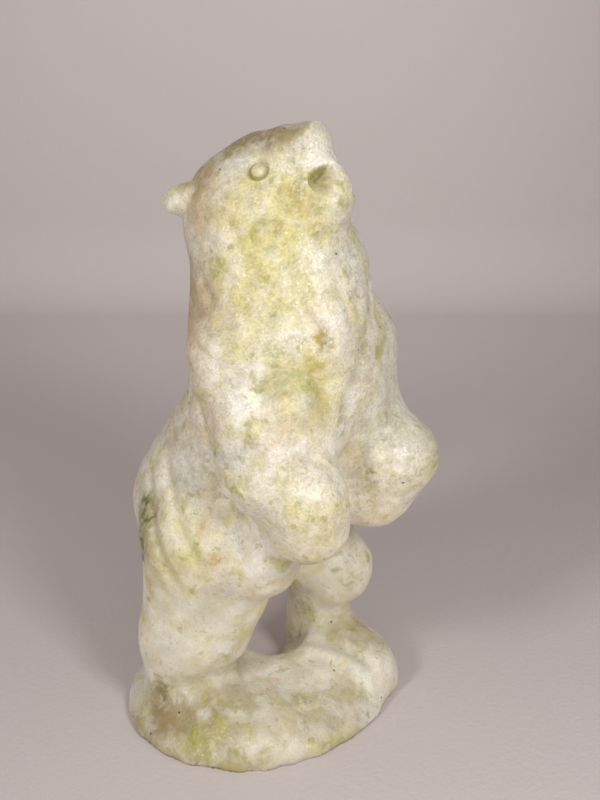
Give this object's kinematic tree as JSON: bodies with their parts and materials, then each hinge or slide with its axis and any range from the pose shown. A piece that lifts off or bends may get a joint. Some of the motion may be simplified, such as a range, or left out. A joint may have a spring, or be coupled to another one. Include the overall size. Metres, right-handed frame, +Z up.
{
  "type": "standing bear carving",
  "caption": "Small stone carving of a standing bear with its head lifted, on a low rough mound.",
  "frame": {"origin": "middle of the flat underside of the mound", "axes": "+Z up, -Y is the way the bear faces, +X is the bear's left"},
  "size_m": [0.0716, 0.0713, 0.1409],
  "materials": {
    "jade_stone": "satin"
  },
  "bodies": {
    "root": {"bear_carving": "jade_stone"}
  },
  "joints": []
}
